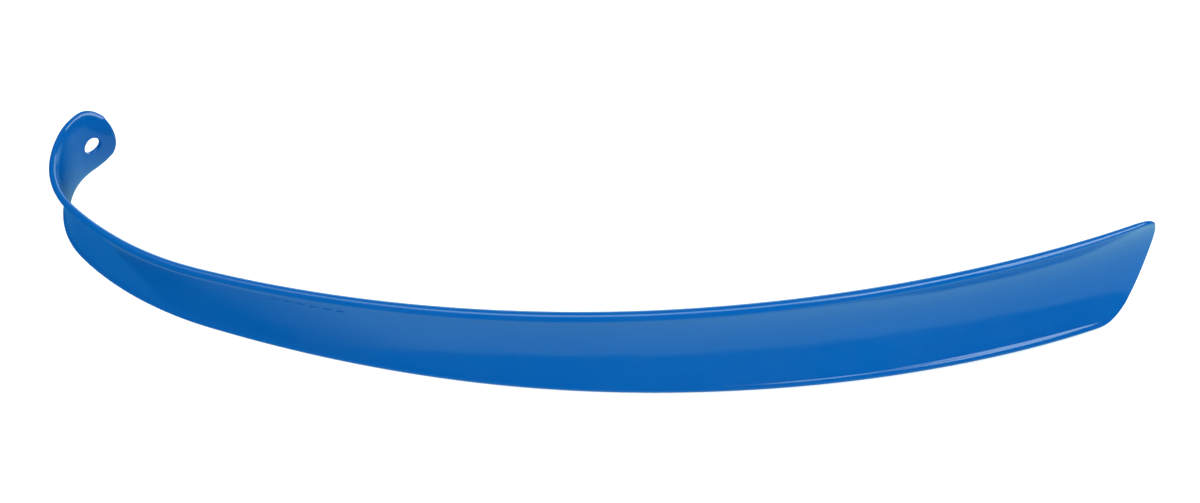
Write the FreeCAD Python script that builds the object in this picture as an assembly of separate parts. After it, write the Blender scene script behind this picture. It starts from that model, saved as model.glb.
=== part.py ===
import FreeCAD, Part
import math
import os

# Long-handled shoehorn: one injection-moulded strip with a wide dished blade, a tapering shaft
# and a hooked handle that ends in a rounded hanging tab.
#
# Frame: the shoehorn stands on one long edge.  +X runs toward the blade tip, +Z across the strip,
# and the dished face looks along -Y.  Origin: bottom centre of the bounding box.

# --- Driving dimensions (mm) ---

# Spine: the middle line of the strip, a chain of tangent arcs from the blade tip to the tab.
SPINE_ARCS = [          # (radius, developed length)
    (440.0, 42.0),      # blade
    (508.0, 137.0),     # lower shaft
    (450.0, 176.0),     # upper shaft
    (124.0, 60.0),      # lead-in to the hook
    (37.0, 38.0),       # hook bend
    (22.0, 21.5),       # tab curl
]
LEVEL_STATION = 218.0   # developed length at which the spine runs parallel to X
SPINE_LENGTH = sum(length for _, length in SPINE_ARCS)

# Laws along the spine: (developed length from the blade tip, value)
HALF_WIDTH = [(0.0, 29.4), (18.0, 28.9), (90.0, 26.5), (230.0, 21.1), (370.0, 15.4),
              (408.0, 14.8), (441.0, 14.2), (462.0, 15.4), (474.5, 15.5)]
DISH_DEPTH = [(0.0, 6.4), (20.0, 6.9), (57.0, 6.5), (218.0, 2.8), (351.0, 0.9), (400.0, 1.5),
              (448.0, 2.0), (474.5, 3.6)]
RIM_THICKNESS = [(0.0, 1.5), (57.0, 3.2), (218.0, 4.1), (380.0, 3.0), (474.5, 2.3)]
BEAD_HEIGHT = [(0.0, 0.0), (10.0, 0.15), (60.0, 0.65), (440.0, 0.65), (474.5, 0.55)]

BEAD_WIDTH = 3.2        # raised rim along both long edges of the dished face
BEAD_FOOT = 0.7         # half-length of the slope from the rim down to the face
TIP_LENGTH = 18.5       # length over which the blade outline rounds off
TAB_LENGTH = 11.2       # length over which the tab outline rounds off
NOSE_LENGTH = 0.8       # length over which the wall thins to a rounded nose at each end
END_GAP = 0.08          # the outline stops this far short of its mathematical apex

HOLE_RADIUS = 3.5
HOLE_STATION = 463.6    # developed length of the hanging hole
HOLE_EDGE_ROUND = 0.4


# --- Laws and spine ---

def law(table, s):
    """Smooth curve through (station, value) pairs; straight runs stay straight."""
    n = len(table)
    i = max(j for j in range(n - 1) if j == 0 or s >= table[j][0])
    (s0, v0), (s1, v1) = table[i], table[i + 1]
    slope = (v1 - v0) / (s1 - s0)

    def tangent(j):
        if j == 0 or j == n - 1:
            return slope
        before = (table[j][1] - table[j - 1][1]) / (table[j][0] - table[j - 1][0])
        after = (table[j + 1][1] - table[j][1]) / (table[j + 1][0] - table[j][0])
        return 0.5 * (before + after) if before * after > 0 else 0.0

    t = (s - s0) / (s1 - s0)
    h = s1 - s0
    return (v0 * (1 + 2 * t) * (1 - t) ** 2 + v1 * t * t * (3 - 2 * t)
            + h * tangent(i) * t * (1 - t) ** 2 - h * tangent(i + 1) * t * t * (1 - t))


def march(s):
    """Position and turning angle on the spine, measured from the blade tip."""
    x = y = angle = 0.0
    left = s
    for radius, length in SPINE_ARCS:
        step = min(left, length)
        turned = angle + step / radius
        x -= radius * (math.sin(turned) - math.sin(angle))
        y += radius * (math.cos(angle) - math.cos(turned))
        angle = turned
        left -= step
    return x, y, angle


LEVEL_ANGLE = march(LEVEL_STATION)[2]


def spine(s):
    """Spine frame at station s: point, and unit normal toward the back of the strip."""
    x, y, angle = march(s)
    c, sn = math.cos(-LEVEL_ANGLE), math.sin(-LEVEL_ANGLE)
    # turning the whole chain brings the level station parallel to X
    point = FreeCAD.Vector(x * c + y * sn, -x * sn + y * c, 0)
    heading = angle - LEVEL_ANGLE
    return point, FreeCAD.Vector(math.sin(heading), math.cos(heading), 0)


def round_off(distance, length):
    """Quarter-ellipse growth from an end: 0 at the apex, 1 from `length` inward."""
    if distance >= length:
        return 1.0
    return math.sqrt(1.0 - (1.0 - distance / length) ** 2)


def smooth(t):
    t = min(max(t, 0.0), 1.0)
    return t * t * (3 - 2 * t)


# --- Cross-section ---

def face_heights(top, foot, slope):
    """Heights across the dished face, closest together where the rim slopes down to the face."""
    upper = [top, 0.5 * (top + foot + slope), foot + slope, foot + 0.4 * slope, foot - 0.4 * slope,
             foot - slope, foot - 2.0 * slope - 0.1 * (foot - slope), 0.5 * foot, 0.25 * foot]
    return upper + [0.0] + [-z for z in reversed(upper)]


# The same spacing at every station keeps the lofted face light and even
FACE_PARAMETERS = [0.5 - 0.5 * z / 20.0 for z in face_heights(20.0, 17.8, BEAD_FOOT)]


def section(s):
    """Closed wire across the strip at station s: back, rounded lip, dished front, lip."""
    from_tip, from_end = s, SPINE_LENGTH - s
    full_half = law(HALF_WIDTH, s)
    half = full_half * round_off(from_tip, TIP_LENGTH) * round_off(from_end, TAB_LENGTH)
    nose = round_off(from_tip, NOSE_LENGTH) * round_off(from_end, NOSE_LENGTH)
    rim = law(RIM_THICKNESS, s) * nose
    bead = min(law(BEAD_HEIGHT, s) * nose, 0.3 * rim)
    wall = rim - bead
    dish = law(DISH_DEPTH, s)
    lip = 0.5 * rim
    point, normal = spine(s)

    def place(z, offset, along=0.0):
        """Point at height z on the mid-wall curve, moved across and along the wall."""
        u = dish * (0.5 - (z / full_half) ** 2)
        lean = math.atan(2.0 * dish * z / full_half ** 2)
        u += offset * math.cos(lean) - along * math.sin(lean)
        z += offset * math.sin(lean) + along * math.cos(lean)
        return point + normal * u + FreeCAD.Vector(0, 0, z)

    edge_lean = math.atan(2.0 * dish * half / full_half ** 2)
    top = half - lip + 0.5 * bead * math.sin(edge_lean)
    foot = max(half - min(BEAD_WIDTH, 0.45 * half), 0.1 * half)
    slope = min(BEAD_FOOT, 0.3 * (top - foot), 0.4 * foot)

    def front(z):
        raised = smooth((abs(z) - foot + slope) / (2 * slope))
        return place(z, -0.5 * wall - bead * raised)

    def lip_arc(side):
        z = side * top
        middle = place(z, -0.5 * bead, side * lip)
        return Part.Arc(place(z, 0.5 * wall), middle, front(z)).toShape()

    back = Part.BSplineCurve()
    back.interpolate(Points=[place(top * k / 4.0, 0.5 * wall) for k in range(-4, 5)],
                     Parameters=[k / 8.0 for k in range(9)])
    face = Part.BSplineCurve()
    face.interpolate(Points=[front(z) for z in face_heights(top, foot, slope)],
                     Parameters=FACE_PARAMETERS)
    return Part.Wire([back.toShape(), lip_arc(1), face.toShape(), lip_arc(-1)])


# --- Stations: packed toward the rounded ends, evenly spaced between ---

def end_stations(length, count):
    """Distances from an end that follow the rounding of the outline."""
    start = math.acos(1.0 - END_GAP / length)
    return [length * (1.0 - math.cos(start + (0.5 * math.pi - start) * k / count))
            for k in range(count + 1)]


tip_end = end_stations(TIP_LENGTH, 9)
tab_end = [SPINE_LENGTH - d for d in reversed(end_stations(TAB_LENGTH, 8))]


def spread(first, last, count):
    return [first + (last - first) * k / count for k in range(1, count)]


HOOK_START = 375.0
stations = (tip_end + spread(tip_end[-1], HOOK_START, 18) + [HOOK_START]
            + spread(HOOK_START, tab_end[0], 16) + tab_end)

# --- Solid ---

body = Part.makeLoft([section(s) for s in stations], True, False, False, 5)

hole_point, hole_normal = spine(HOLE_STATION)
drill = Part.makeCylinder(HOLE_RADIUS, 24.0, hole_point - hole_normal * 12.0, hole_normal)
shoehorn_moulding = body.cut(drill)

hole_edges = [e for e in shoehorn_moulding.Edges
              if all(abs((v.Point - hole_point).cross(hole_normal).Length - HOLE_RADIUS) < 0.01
                     for v in e.Vertexes)
              and abs((e.valueAt(0.5 * (e.FirstParameter + e.LastParameter))
                       - hole_point).cross(hole_normal).Length - HOLE_RADIUS) < 0.01
              and e.Length > HOLE_RADIUS]
shoehorn_moulding = shoehorn_moulding.makeFillet(HOLE_EDGE_ROUND, hole_edges)

# Move the origin to the bottom centre of the bounding box
box = shoehorn_moulding.optimalBoundingBox()
shift = FreeCAD.Vector(-0.5 * (box.XMin + box.XMax), -0.5 * (box.YMin + box.YMax), -box.ZMin)
shoehorn_moulding.translate(shift)

os.makedirs("parts", exist_ok=True)
shoehorn_moulding.exportStep("parts/shoehorn_moulding.step")

print("box", shoehorn_moulding.optimalBoundingBox(), "volume", shoehorn_moulding.Volume,
      "valid", shoehorn_moulding.isValid(), "solids", len(shoehorn_moulding.Solids))
print("shift", shift, "hole", hole_point + shift, hole_normal)
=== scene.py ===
import math

import bmesh
import bpy
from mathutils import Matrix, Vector


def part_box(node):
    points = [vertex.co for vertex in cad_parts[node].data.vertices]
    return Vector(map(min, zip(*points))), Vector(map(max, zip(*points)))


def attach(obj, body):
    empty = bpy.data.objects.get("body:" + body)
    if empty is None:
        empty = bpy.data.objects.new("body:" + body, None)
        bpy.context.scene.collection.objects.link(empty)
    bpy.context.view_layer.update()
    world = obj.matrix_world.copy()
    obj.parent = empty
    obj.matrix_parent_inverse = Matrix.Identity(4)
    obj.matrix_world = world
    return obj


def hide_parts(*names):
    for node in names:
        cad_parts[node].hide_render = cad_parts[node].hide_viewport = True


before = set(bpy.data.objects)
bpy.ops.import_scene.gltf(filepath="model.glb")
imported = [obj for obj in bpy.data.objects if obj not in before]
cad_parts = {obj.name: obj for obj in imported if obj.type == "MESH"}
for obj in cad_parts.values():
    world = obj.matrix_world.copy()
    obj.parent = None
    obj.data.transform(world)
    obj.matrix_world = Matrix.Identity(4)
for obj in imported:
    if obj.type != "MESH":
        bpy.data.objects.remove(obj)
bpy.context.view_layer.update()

# --- The line the moulding follows ---
# The shoehorn is one long strip of polypropylene. Its middle line is a chain of arcs: the blade and
# the bowed shaft, a tighter lead-in, the hook bend and the curl of the hanging tab. Each arc is given
# by its radius and its length, in mm, from the blade tip on.
SPINE_ARCS = [(440.0, 42.0), (508.0, 137.0), (450.0, 176.0), (124.0, 60.0), (37.0, 38.0), (22.0, 21.5)]
LEVEL_STATION = 218.0   # here the strip runs parallel to X
SPINE_LENGTH = sum(length for radius, length in SPINE_ARCS)


def march(s):
    """Place and turning angle at station s, before the strip is turned level."""
    x = y = angle = 0.0
    left = s
    for radius, length in SPINE_ARCS:
        turned = angle + min(left, length) / radius
        x -= radius * (math.sin(turned) - math.sin(angle))
        y += radius * (math.cos(angle) - math.cos(turned))
        angle = turned
        left -= min(left, length)
    return x, y, angle


level_angle = march(LEVEL_STATION)[2]


def spine(s):
    """Point on the middle line, and the direction toward the back of the strip."""
    x, y, angle = march(s)
    c, sn = math.cos(level_angle), math.sin(level_angle)
    heading = angle - level_angle
    return (Vector((x * c - y * sn, x * sn + y * c, 0.0)),
            Vector((math.sin(heading), math.cos(heading), 0.0)))


# --- The dished strip ---
# The strip narrows from the blade to the hook. It is dished most in the blade and thickest in mid
# shaft, a low bead stiffens both long edges of the hollow face, and inside the hook the tab's face
# eases down toward its edge. Each table pairs a station along the strip with a size, both in mm.
HALF_WIDTH = [(0.0, 29.4), (18.0, 28.9), (90.0, 26.5), (230.0, 21.1), (370.0, 15.4),
              (408.0, 14.8), (441.0, 14.2), (462.0, 15.4), (474.5, 15.5)]
DISH_DEPTH = [(0.0, 6.4), (20.0, 6.9), (57.0, 6.5), (218.0, 2.8), (351.0, 0.9), (400.0, 1.5),
              (448.0, 2.0), (474.5, 3.6)]
RIM_THICKNESS = [(0.0, 1.5), (57.0, 3.2), (218.0, 4.1), (380.0, 3.0), (474.5, 2.3)]
BEAD_HEIGHT = [(0.0, 0.0), (10.0, 0.15), (60.0, 0.65), (440.0, 0.65), (474.5, 0.55)]
BEAD_WIDTH, BEAD_FOOT = 3.2, 0.7
BEAD_LIMIT = 0.3        # the bead is never more than this share of the wall
TIP_LENGTH, TAB_LENGTH = 18.5, 11.2
TAB_EASE, TAB_EASE_WIDTH, TAB_EASE_START, TAB_EASE_RUN = 0.45, 4.6, 438.0, 12.0


def law(table, s):
    """Smooth curve through the pairs of a table; straight runs stay straight."""
    n = len(table)
    i = max(j for j in range(n - 1) if j == 0 or s >= table[j][0])
    (s0, v0), (s1, v1) = table[i], table[i + 1]
    slope = (v1 - v0) / (s1 - s0)

    def tangent(j):
        if j == 0 or j == n - 1:
            return slope
        before = (table[j][1] - table[j - 1][1]) / (table[j][0] - table[j - 1][0])
        after = (table[j + 1][1] - table[j][1]) / (table[j + 1][0] - table[j][0])
        return 0.5 * (before + after) if before * after > 0 else 0.0

    t, h = (s - s0) / (s1 - s0), s1 - s0
    return (v0 * (1 + 2 * t) * (1 - t) ** 2 + v1 * t * t * (3 - 2 * t)
            + h * tangent(i) * t * (1 - t) ** 2 - h * tangent(i + 1) * t * t * (1 - t))


def round_off(distance, length):
    """Quarter-ellipse growth from an end: 0 at the apex, 1 from the given length inward."""
    if distance >= length:
        return 1.0
    return math.sqrt(max(0.0, 1.0 - (1.0 - distance / length) ** 2))


def smooth(t):
    t = min(max(t, 0.0), 1.0)
    return t * t * (3 - 2 * t)


def wall_point(s, z, offset):
    """A point across the wall at station s and height z, moved off the middle of the wall."""
    full, dish = law(HALF_WIDTH, s), law(DISH_DEPTH, s)
    lean = math.atan(2.0 * dish * z / full ** 2)
    u = dish * (0.5 - (z / full) ** 2) + offset * math.cos(lean)
    point, normal = spine(s)
    return point + normal * u + Vector((0.0, 0.0, z + offset * math.sin(lean)))


def bead_height(s):
    return min(law(BEAD_HEIGHT, s), BEAD_LIMIT * law(RIM_THICKNESS, s))


def front_and_back(s, z, from_edge):
    """The two faces of the wall at station s and height z, from_edge in from the long edge."""
    rim, bead = law(RIM_THICKNESS, s), bead_height(s)
    raised = smooth((BEAD_WIDTH + BEAD_FOOT - from_edge) / (2 * BEAD_FOOT))
    eased = (TAB_EASE * smooth((s - TAB_EASE_START) / TAB_EASE_RUN)
             * max(0.0, 1.0 - from_edge / TAB_EASE_WIDTH) ** 2)
    return (wall_point(s, z, -0.5 * (rim - bead) - bead * raised),
            wall_point(s, z, 0.5 * (rim - bead) - eased))


def edge_height(s):
    """Height where the flat of the wall ends and the rounded lip begins."""
    full = law(HALF_WIDTH, s)
    lean = math.atan(2.0 * law(DISH_DEPTH, s) / full)
    return full - 0.5 * law(RIM_THICKNESS, s) + 0.5 * bead_height(s) * math.sin(lean)


# Rows of the skin: straight across the shaft, bowing out to follow the rounded blade tip and tab
EDGE_STEPS = [0.0, 0.45, 0.8, 1.15, 1.5, 1.9, 2.5, 3.4]
INNER_STEPS = 16
TIP_ROW, TAB_ROW = 60.0, 444.0
TIP_ROWS, SHAFT_ROWS, TAB_ROWS = 26, 156, 18
TIP_CORNER, TAB_CORNER = math.radians(52), math.radians(46)
tip_lip, tab_lip = 0.5 * RIM_THICKNESS[0][1], 0.5 * RIM_THICKNESS[-1][1]
rows = []


def across(half):
    """Positions across a row as fractions of its half width, packed beside the rims."""
    outer = [1.0 - e / half for e in EDGE_STEPS]
    inner = [outer[-1] * (1.0 - 2.0 * k / INNER_STEPS) for k in range(1, INNER_STEPS)]
    return outer + inner + [-v for v in reversed(outer)]


def end_rows(apex, inward, length, corner, station, count):
    """Rows from a rounded end to a straight row at the given station."""
    made = []
    side = apex + inward * length * (1.0 - math.cos(corner))
    for r in range(count):
        t = r / count
        at = side + (station - side) * t
        half = edge_height(at) * round_off(abs(at - apex), length)
        row = []
        for v in across(half):
            s = (1 - t) * (apex + inward * length * (1.0 - math.cos(v * corner))) + t * station
            z = ((1 - t) * math.sin(v * corner) / math.sin(corner) + t * v) * half
            row.append([s, z, (1.0 - abs(v)) * half])
        made.append(row)
    return made


rows += end_rows(tip_lip, 1.0, TIP_LENGTH - tip_lip, TIP_CORNER, TIP_ROW, TIP_ROWS)
for k in range(SHAFT_ROWS + 1):
    s = TIP_ROW + (TAB_ROW - TIP_ROW) * k / SHAFT_ROWS
    half = edge_height(s)
    rows.append([[s, v * half, (1.0 - abs(v)) * half] for v in across(half)])
rows += list(reversed(end_rows(SPINE_LENGTH - tab_lip, -1.0, TAB_LENGTH - tab_lip, TAB_CORNER,
                               TAB_ROW, TAB_ROWS)))

# --- The hanging hole ---
# A round core pin in the mould leaves a plain hole through the middle of the tab, its rims eased.
# The skin's rows and columns part round it in a ring, and the net about the ring is relaxed.
HOLE_STATION, HOLE_RADIUS, HOLE_EASE = 463.6, 3.5, 0.4
RING_RADIUS, RING_POINTS = 5.8, 16
RELAX_SWEEPS, RELAX_RATE, RELAX_ROWS = 60, 0.7, 8
COLUMNS = len(rows[0])
middle = COLUMNS // 2
hole_row = min(range(len(rows)), key=lambda i: abs(rows[i][middle][0] - HOLE_STATION))
ring = ([(hole_row - 2, middle + k) for k in range(-2, 2)]
        + [(hole_row + k, middle + 2) for k in range(-2, 2)]
        + [(hole_row + 2, middle - k) for k in range(-2, 2)]
        + [(hole_row - k, middle - 2) for k in range(-2, 2)])
ring_angles = [math.radians(135.0 - 360.0 / RING_POINTS * n) for n in range(RING_POINTS)]
for (i, k), angle in zip(ring, ring_angles):
    rows[i][k][0] = HOLE_STATION - RING_RADIUS * math.sin(angle)
    rows[i][k][1] = -RING_RADIUS * math.cos(angle)
gone = {(hole_row + a, middle + b) for a in (-1, 0, 1) for b in (-1, 0, 1)}
held = set(ring) | gone
for sweep in range(RELAX_SWEEPS):
    for i in range(hole_row - RELAX_ROWS, len(rows) - 1):
        for k in range(len(EDGE_STEPS), COLUMNS - len(EDGE_STEPS)):
            if (i, k) not in held:
                for c in (0, 1):
                    near = 0.25 * (rows[i - 1][k][c] + rows[i + 1][k][c]
                                   + rows[i][k - 1][c] + rows[i][k + 1][c])
                    rows[i][k][c] += RELAX_RATE * (near - rows[i][k][c])

# --- The moulded skin ---
# The front and back faces come off the two halves of a polished steel mould and meet in a rounded
# lip that runs right round the outline. It is all one shell: front, back, lip and hole wall.
UV_UNIT = 100.0
LIP_ANGLES = [math.radians(a) for a in (30, 60, 90, 120, 150)]
FRONT, BACK = 0, 1
last = len(rows) - 1
mesh = bmesh.new()
uv_of = {}


def sheet(side):
    """The front or the back face: a grid, moved row by row onto the wall, with room for the hole."""
    made = {}
    for vert in bmesh.ops.create_grid(mesh, x_segments=COLUMNS - 1, y_segments=last, size=1.0)["verts"]:
        i, k = round(0.5 * (vert.co.y + 1.0) * last), round(0.5 * (vert.co.x + 1.0) * (COLUMNS - 1))
        s, z, from_inset = rows[i][k]
        vert.co = front_and_back(s, z, from_inset + 0.5 * law(RIM_THICKNESS, s))[side]
        uv_of[vert] = (s / UV_UNIT, z / UV_UNIT)
        made[i, k] = vert
    bmesh.ops.delete(mesh, geom=[made.pop(at) for at in sorted(gone)], context="VERTS")
    return made


def loop_edges(loop):
    return [mesh.edges.get((vert, loop[n - 1])) for n, vert in enumerate(loop)]


def extruded(loop):
    """Extrude a closed loop of the skin; the new vertices come back in the same order."""
    grown = bmesh.ops.extrude_edge_only(mesh, edges=loop_edges(loop))["geom"]
    fresh = {part for part in grown if isinstance(part, bmesh.types.BMVert)}
    return [next(edge.other_vert(vert) for edge in vert.link_edges if edge.other_vert(vert) in fresh)
            for vert in loop]


faces = (sheet(FRONT), sheet(BACK))
outline = ([(0, k) for k in range(COLUMNS)] + [(i, COLUMNS - 1) for i in range(1, last)]
           + [(last, k) for k in range(COLUMNS - 1, -1, -1)] + [(i, 0) for i in range(last - 1, 0, -1)])
lip = []
for n, at in enumerate(outline):
    front, back = [[side[outline[m]].co for m in (n - 1, n, (n + 1) % len(outline))] for side in faces]
    centre, through = 0.5 * (front[1] + back[1]), 0.5 * (front[1] - back[1])
    along = (front[2] + back[2] - front[0] - back[0]).normalized()
    out = along.cross(through).normalized()
    # the lip turns away from the next vertex in from the edge
    inner = (min(max(at[0], 1), last - 1), min(max(at[1], 1), COLUMNS - 2))
    if out.dot(0.5 * (faces[FRONT][inner].co + faces[BACK][inner].co) - centre) > 0:
        out = -out
    lip.append((rows[at[0]][at[1]], centre, through, out))
edge = [faces[BACK][at] for at in outline]
for angle in LIP_ANGLES:
    edge = extruded(edge)
    for vert, ((s, z, from_inset), centre, through, out) in zip(edge, lip):
        reach = through.length * math.sin(angle)
        vert.co = centre - through * math.cos(angle) + out * reach
        uv_of[vert] = (s / UV_UNIT, (z + math.copysign(reach, z)) / UV_UNIT)
bmesh.ops.bridge_loops(mesh, edges=loop_edges(edge) + loop_edges([faces[FRONT][at] for at in outline]))

# the hole's eased rims and its wall
hole_point, hole_normal = spine(HOLE_STATION)
hole_along = Vector((-hole_normal.y, hole_normal.x, 0.0))
hole_sign = 1.0 if (spine(HOLE_STATION + 1)[0] - hole_point).dot(hole_along) > 0 else -1.0
CLEAR_OF_RIM, SETTLING_ROUNDS = 12.0, 4
# (radius, depth) of each loop from the flat of the tab into the hole
EASING = [(4.7, 0.0), (HOLE_RADIUS + HOLE_EASE + 0.15, 0.0), (HOLE_RADIUS + 0.18, 0.1),
          (HOLE_RADIUS + 0.03, 0.42)]


def hole_place(angle, radius, side, depth):
    """Where a circle square to the tab meets one face of it, sunk by a depth, and its station and height."""
    s, z = HOLE_STATION - radius * math.sin(angle), -radius * math.cos(angle)
    wanted = -radius * math.sin(angle)
    # the tab is curved, so the station is settled until the circle is true seen square to it
    for _ in range(SETTLING_ROUNDS):
        point = front_and_back(s, z, CLEAR_OF_RIM)[side]
        s += wanted - hole_sign * (point - hole_point).dot(hole_along)
    point = front_and_back(s, z, CLEAR_OF_RIM)[side]
    return point + hole_normal * (depth if side == FRONT else -depth), s, z


walls = []
for side in (FRONT, BACK):
    rim = [faces[side][at] for at in ring]
    for radius, depth in EASING:
        rim = extruded(rim)
        for vert, angle in zip(rim, ring_angles):
            vert.co, s, z = hole_place(angle, radius, side, depth)
            uv_of[vert] = (s / UV_UNIT, z / UV_UNIT)
    walls += loop_edges(rim)
bmesh.ops.bridge_loops(mesh, edges=walls)

# into metres, and onto the moulding's place in the frame
METRES = 0.001
node_low, node_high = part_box("shoehorn_moulding")
low = Vector([min(v.co[a] for v in mesh.verts) for a in range(3)]) * METRES
high = Vector([max(v.co[a] for v in mesh.verts) for a in range(3)]) * METRES
shift = 0.5 * (Vector(node_low) + Vector(node_high)) - 0.5 * (low + high)


def finish_piece(name, built, places):
    """Turn a mesh built in mm into a smooth piece of the moulding, its place along the strip as UV."""
    bmesh.ops.recalc_face_normals(built, faces=built.faces)
    for vert in built.verts:
        vert.co = vert.co * METRES + shift
    layer = built.loops.layers.uv.new("strip")
    for face in built.faces:
        face.smooth = True
        for loop in face.loops:
            loop[layer].uv = places[loop.vert]
    data = bpy.data.meshes.new(name)
    built.to_mesh(data)
    built.free()
    piece = bpy.data.objects.new(name, data)
    bpy.context.scene.collection.objects.link(piece)
    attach(piece, "root")
    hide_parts("shoehorn_moulding")
    return piece


moulding = finish_piece("shoehorn_moulding_skin", mesh, uv_of)
finer = moulding.modifiers.new("finer", "SUBSURF")
finer.levels = finer.render_levels = 1
finer.uv_smooth = "PRESERVE_BOUNDARIES"

# --- Raised marks ---
# A short row of plain raised bars stands on the hollow face, close under one rim, cut into the mould
# where such a moulding carries its lettering. They are part of the same plastic, a hair proud of it.
BAR_COUNT, BAR_PITCH, BAR_LENGTH, BAR_HEIGHT = 6, 4.8, 3.2, 1.5
BAR_PROUD, BAR_TUCK, BAR_SUNK = 0.26, 0.05, 0.15
BAR_STATION, BAR_LINE = 302.0, 10.6
BAR_STEPS, BAR_ROWS = 12, 8
marks_mesh = bmesh.new()
mark_uv = {}
for n in range(BAR_COUNT):
    # a flat grid and its extruded copy are the bar's foot and top, until they are laid on the face
    foot = bmesh.ops.create_grid(marks_mesh, x_segments=BAR_STEPS, y_segments=BAR_ROWS, size=1.0)["verts"]
    under = list(dict.fromkeys(face for vert in foot for face in vert.link_faces))
    grown = bmesh.ops.extrude_face_region(marks_mesh, geom=under, use_keep_orig=True)["geom"]
    top = [part for part in grown if isinstance(part, bmesh.types.BMVert)]
    for verts, is_top in ((foot, False), (top, True)):
        for vert in verts:
            along_bar, across_bar = vert.co.x, vert.co.y
            s = (BAR_STATION + BAR_PITCH * n
                 + 0.5 * BAR_LENGTH * along_bar * math.sqrt(1.0 - 0.25 * across_bar ** 2))
            z = BAR_LINE + 0.5 * BAR_HEIGHT * across_bar * math.sqrt(1.0 - 0.4 * along_bar ** 4)
            dome = (1.0 - along_bar ** 6) * (1.0 - across_bar ** 4)
            lift = (BAR_PROUD + BAR_TUCK) * dome - BAR_TUCK if is_top else -BAR_SUNK
            face = front_and_back(s, z, edge_height(s) - z + 0.5 * law(RIM_THICKNESS, s))[FRONT]
            vert.co = face - spine(s)[1] * lift
            mark_uv[vert] = (s / UV_UNIT, z / UV_UNIT)
raised_marks = finish_piece("raised_marks", marks_mesh, mark_uv)

# --- The plastic ---
# Solid-coloured polypropylene out of a polished mould: deep blue all through and glossy. The melt
# leaves faint flow lines along the strip and a slight orange peel where it cooled, and handling
# adds hairline scuffs and duller patches.
plastic = bpy.data.materials.new("blue_polypropylene")
plastic.use_nodes = True
nodes, links = plastic.node_tree.nodes, plastic.node_tree.links
nodes.clear()
surface = nodes.new("ShaderNodeOutputMaterial")
shader = nodes.new("ShaderNodeBsdfPrincipled")
links.new(shader.outputs["BSDF"], surface.inputs["Surface"])
strip_uv = nodes.new("ShaderNodeUVMap")
strip_uv.uv_map = "strip"
solid_place = nodes.new("ShaderNodeTexCoord")


def noise(source, scale, size, detail=2.0, roughness=0.5):
    mapping = nodes.new("ShaderNodeMapping")
    mapping.inputs["Scale"].default_value = scale
    links.new(source, mapping.inputs["Vector"])
    made = nodes.new("ShaderNodeTexNoise")
    made.inputs["Scale"].default_value = size
    made.inputs["Detail"].default_value = detail
    made.inputs["Roughness"].default_value = roughness
    links.new(mapping.outputs["Vector"], made.inputs["Vector"])
    return made.outputs["Fac"]


def ramp(value, low, high, to_low, to_high):
    made = nodes.new("ShaderNodeMapRange")
    made.inputs["From Min"].default_value, made.inputs["From Max"].default_value = low, high
    made.inputs["To Min"].default_value, made.inputs["To Max"].default_value = to_low, to_high
    links.new(value, made.inputs["Value"])
    return made.outputs["Result"]


def joined(operation, first, second):
    made = nodes.new("ShaderNodeMath")
    made.operation = operation
    for socket, value in zip(made.inputs, (first, second)):
        if isinstance(value, float):
            socket.default_value = value
        else:
            links.new(value, socket)
    return made.outputs["Value"]


EVEN = (1.0, 1.0, 1.0)
strip_place, body_place = strip_uv.outputs["UV"], solid_place.outputs["Object"]
flow_lines = noise(strip_place, (1.2, 22.0, 1.0), 1.0, 3.0)
cloudiness = noise(body_place, EVEN, 14.0, 2.0)
orange_peel = noise(body_place, EVEN, 420.0, 2.0)
slow_waves = noise(strip_place, (2.6, 6.5, 1.0), 1.0, 1.0)
scuffs_along = noise(strip_place, (9.0, 900.0, 1.0), 1.0, 2.0)
scuffs_across = noise(strip_place, (700.0, 26.0, 1.0), 1.0, 2.0)
worn = ramp(noise(body_place, EVEN, 22.0, 4.0, 0.6), 0.45, 0.75, 0.0, 1.0)
grime = noise(body_place, EVEN, 90.0, 5.0, 0.65)

# the blue drifts slightly with the flow of the melt
tint = joined("ADD", ramp(flow_lines, 0.3, 0.7, -0.35, 0.35), ramp(cloudiness, 0.3, 0.7, -0.65, 0.65))
colour = nodes.new("ShaderNodeMix")
colour.data_type = "RGBA"
DEEP_BLUE, PALER_BLUE = (0.0, 0.0655, 0.258, 1.0), (0.0, 0.0755, 0.283, 1.0)
MIX_AMOUNT, MIX_FIRST, MIX_SECOND, MIX_RESULT = 0, 6, 7, 2     # the colour mix's own sockets
colour.inputs[MIX_FIRST].default_value = DEEP_BLUE
colour.inputs[MIX_SECOND].default_value = PALER_BLUE
links.new(ramp(tint, -1.0, 1.0, 0.0, 1.0), colour.inputs[MIX_AMOUNT])
links.new(colour.outputs[MIX_RESULT], shader.inputs["Base Color"])

# the polish is duller in worn patches
POLISHED, RUBBED, GRIMY = 0.085, 0.15, 0.035
POLYPROPYLENE_IOR = 1.49
gloss = joined("ADD", ramp(worn, 0.0, 1.0, POLISHED, RUBBED), ramp(grime, 0.35, 0.75, 0.0, GRIMY))
links.new(gloss, shader.inputs["Roughness"])
shader.inputs["IOR"].default_value = POLYPROPYLENE_IOR

# surface relief: each layer's share of the depth, which is in metres
RELIEF_DEPTH = 0.00002
relief = joined("MULTIPLY", orange_peel, 0.10)
for layer_height, amount in ((slow_waves, 7.0), (flow_lines, 0.55),
                             (joined("MULTIPLY", scuffs_along, worn), 0.10),
                             (joined("MULTIPLY", scuffs_across, worn), 0.05)):
    relief = joined("ADD", relief, joined("MULTIPLY", layer_height, amount))
bump = nodes.new("ShaderNodeBump")
bump.inputs["Strength"].default_value = 1.0
bump.inputs["Distance"].default_value = RELIEF_DEPTH
links.new(relief, bump.inputs["Height"])
links.new(bump.outputs["Normal"], shader.inputs["Normal"])
moulding.data.materials.append(plastic)
raised_marks.data.materials.append(plastic)

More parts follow.
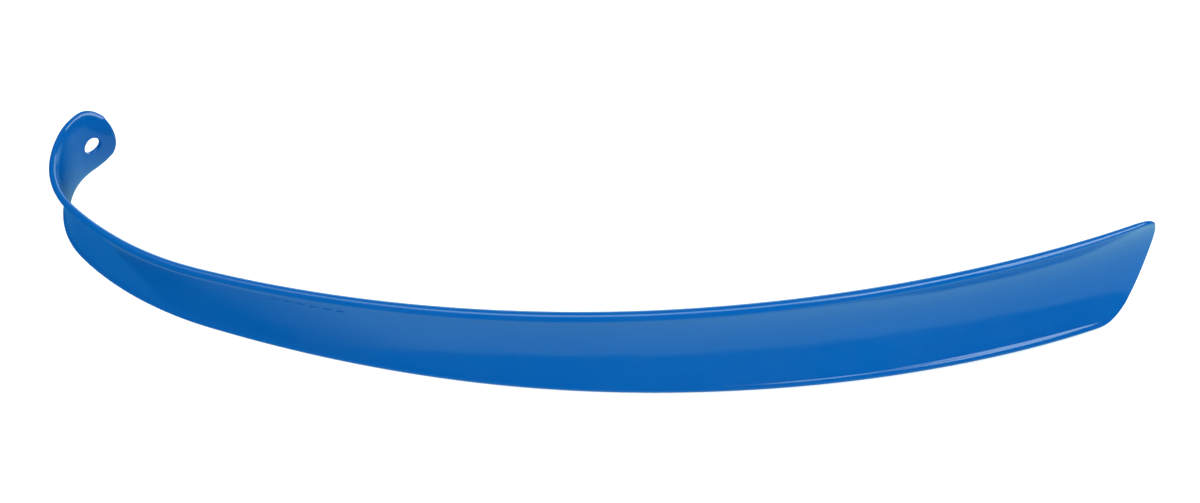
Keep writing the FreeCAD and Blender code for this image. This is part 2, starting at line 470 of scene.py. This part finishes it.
# --- Setting ---
# A seamless white paper sheet under broad even light. The plastic's shine comes from glowing panels:
# bright table tops low in front and behind, a softbox, windows, and the room above and below. Of
# these only the softbox lights the paper and plastic too, most of all at the blade end.
FLOOR_HALF, PAPER_WHITE, PAPER_ROUGHNESS = 6.0, 0.95, 0.9
floor_mesh = bpy.data.meshes.new("floor")
floor_mesh.from_pydata([(-FLOOR_HALF, -FLOOR_HALF, 0), (FLOOR_HALF, -FLOOR_HALF, 0),
                        (FLOOR_HALF, FLOOR_HALF, 0), (-FLOOR_HALF, FLOOR_HALF, 0)], [], [(0, 1, 2, 3)])
floor = bpy.data.objects.new("floor", floor_mesh)
bpy.context.scene.collection.objects.link(floor)
paper = bpy.data.materials.new("white_paper")
paper.use_nodes = True
paper_shader = paper.node_tree.nodes["Principled BSDF"]
paper_shader.inputs["Base Color"].default_value = (PAPER_WHITE, PAPER_WHITE, PAPER_WHITE, 1.0)
paper_shader.inputs["Roughness"].default_value = PAPER_ROUGHNESS
paper_shader.inputs["Specular IOR Level"].default_value = 0.0
floor.data.materials.append(paper)
floor.visible_glossy = False


def panel(name, corners, strength, tint, lights_scene=False, fades=()):
    """A glowing panel seen only as a reflection; each fade is a direction, and its dark and bright ends."""
    data = bpy.data.meshes.new(name)
    data.from_pydata(corners, [], [tuple(range(len(corners)))])
    made = bpy.data.objects.new(name, data)
    bpy.context.scene.collection.objects.link(made)
    glow = bpy.data.materials.new(name)
    glow.use_nodes = True
    tree = glow.node_tree
    tree.nodes.clear()
    light = tree.nodes.new("ShaderNodeEmission")
    light.inputs["Color"].default_value = (*tint, 1.0)
    light.inputs["Strength"].default_value = strength
    level = None
    for x, y, z, dark, bright in fades:
        place = tree.nodes.new("ShaderNodeTexCoord")
        slope = tree.nodes.new("ShaderNodeVectorMath")
        slope.operation = "DOT_PRODUCT"
        slope.inputs[1].default_value = (x, y, z)
        tree.links.new(place.outputs["Object"], slope.inputs[0])
        step = tree.nodes.new("ShaderNodeMapRange")
        step.inputs["From Min"].default_value, step.inputs["From Max"].default_value = dark, bright
        step.inputs["To Min"].default_value = 0.0
        step.inputs["To Max"].default_value = 1.0 if level else strength
        tree.links.new(slope.outputs["Value"], step.inputs["Value"])
        if level:
            both = tree.nodes.new("ShaderNodeMath")
            both.operation = "MULTIPLY"
            tree.links.new(level, both.inputs[0])
            tree.links.new(step.outputs["Result"], both.inputs[1])
        level = both.outputs["Value"] if level else step.outputs["Result"]
        tree.links.new(level, light.inputs["Strength"])
    end = tree.nodes.new("ShaderNodeOutputMaterial")
    tree.links.new(light.outputs["Emission"], end.inputs["Surface"])
    glow.cycles.emission_sampling = "AUTO" if lights_scene else "NONE"
    made.data.materials.append(glow)
    made.visible_diffuse = lights_scene
    made.visible_camera = made.visible_shadow = False
    made.visible_transmission = made.visible_volume_scatter = False


def toward(azimuth, height, distance):
    """A place seen from the shoehorn: degrees right of straight ahead, degrees up, metres away."""
    a, h = math.radians(azimuth), math.radians(height)
    return (distance * math.sin(a) * math.cos(h), -distance * math.cos(a) * math.cos(h),
            distance * math.sin(h))


def window(near, far, low, high, distance):
    return [toward(a, h, distance) for a, h in ((near, low), (far, low), (far, high), (near, high))]


TABLE_TINT, LAMP_TINT, WINDOW_TINT = (0.42, 0.87, 1.0), (0.8, 1.0, 1.0), (0.7, 0.95, 1.0)
panel("table_glow", [(-0.75, -0.515, -0.5), (1.3, -0.53, -0.5), (1.3, 0.7, -0.5), (-0.2, 0.7, -0.5),
                     (-0.62, 0.0, -0.5)],
      0.76, TABLE_TINT, fades=((1.0, 0.3, 0.0, -0.58, -0.36), (0.0, -1.0, 0.0, -0.65, -0.28)))
panel("room_below", [(-5, -5, -0.55), (5, -5, -0.55), (5, 5, -0.55), (-5, 5, -0.55)],
      0.42, (0.05, 0.38, 1.0))
panel("room_above", [(-4, -4, 2.6), (4, -4, 2.6), (4, 4, 2.6), (-4, 4, 2.6)], 0.5, (0.1, 0.45, 1.0))
panel("softbox", window(28, 80, 38, 64, 1.8), 7.0, LAMP_TINT, lights_scene=True)
panel("low_window", window(42, 104, 10, 36, 1.9), 6.0, LAMP_TINT)
panel("overhead", [(-1.3, -0.95, 1.5), (0.42, -0.95, 1.5), (0.42, -0.1, 1.5), (-0.4, 0.0, 1.5),
                   (-1.3, 0.45, 1.5)],
      4.0, LAMP_TINT, fades=((1.0, 0.0, 0.0, -1.6, -0.3),))
panel("rear_table", [(-0.6, 0.7, -0.5), (1.2, 0.8, -0.5), (1.2, 1.8, -0.5), (-0.6, 1.8, -0.5)],
      0.9, TABLE_TINT)
panel("rear_window", window(140, 220, -12, 18, 2.2), 2.5, WINDOW_TINT)

ROOM_LIGHT = 1.42
world = bpy.data.worlds.new("soft_room")
bpy.context.scene.world = world
world.use_nodes = True
world.node_tree.nodes["Background"].inputs["Color"].default_value = (1.0, 1.0, 1.0, 1.0)
world.node_tree.nodes["Background"].inputs["Strength"].default_value = ROOM_LIGHT
world.cycles_visibility.glossy = False

# The camera stands in front of the hollow face and looks down at it, about half way to overhead
CAMERA_PLACE, CAMERA_ANGLES = (-0.0048, -0.4414, 0.5341), (40.917, -1.071, 0.468)
camera_data = bpy.data.cameras.new("camera")
camera_data.sensor_fit = "HORIZONTAL"
camera_data.sensor_width = 36.0
camera_data.lens = 54.601
camera_data.clip_start, camera_data.clip_end = 0.01, 30.0
camera = bpy.data.objects.new("camera", camera_data)
bpy.context.scene.collection.objects.link(camera)
camera.location = CAMERA_PLACE
camera.rotation_euler = [math.radians(angle) for angle in CAMERA_ANGLES]
bpy.context.scene.camera = camera
bpy.context.scene.view_settings.view_transform = "Standard"
